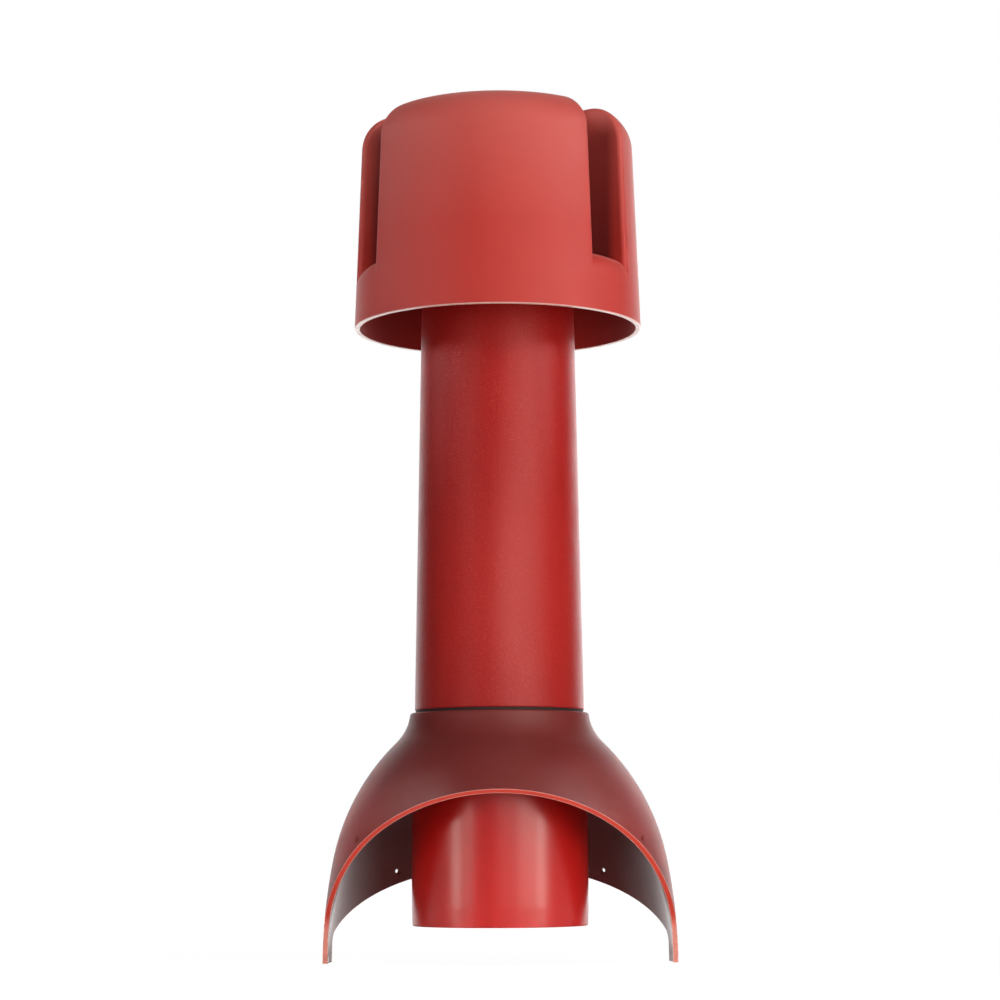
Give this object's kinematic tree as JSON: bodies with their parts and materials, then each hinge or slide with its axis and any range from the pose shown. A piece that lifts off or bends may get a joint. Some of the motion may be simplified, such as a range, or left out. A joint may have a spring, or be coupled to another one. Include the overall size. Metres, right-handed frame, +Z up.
{
  "type": "roof vent pipe",
  "caption": "Upright roof vent pipe with a channelled rain hood, a tapered riser, a bell cover cut for sloping roofs and a round duct spigot.",
  "frame": {"origin": "On the pipe axis, level with the lower ends of the bell's two side tabs, where the bell is seated over the domed base on the roof.", "axes": "+Z up along the pipe to the roof of the hood. +Y towards the back, where the bell is cut for shallow roofs; the front, cut for steep roofs, faces -Y. +X to the right as seen from the front."},
  "size_m": [0.2204, 0.1958, 0.5371],
  "materials": {
    "hood_shell": "matte, fine moulded grain",
    "riser_shell": "matte, fine moulded grain",
    "seal": "matte black",
    "bell_shell": "matte, fine moulded grain",
    "spigot_shell": "semi-gloss"
  },
  "bodies": {
    "root": {"cap_hood": "hood_shell", "riser_pipe": "riser_shell", "pipe_gasket": "seal", "bell_cover": "bell_shell", "duct_spigot": "spigot_shell"}
  },
  "joints": []
}
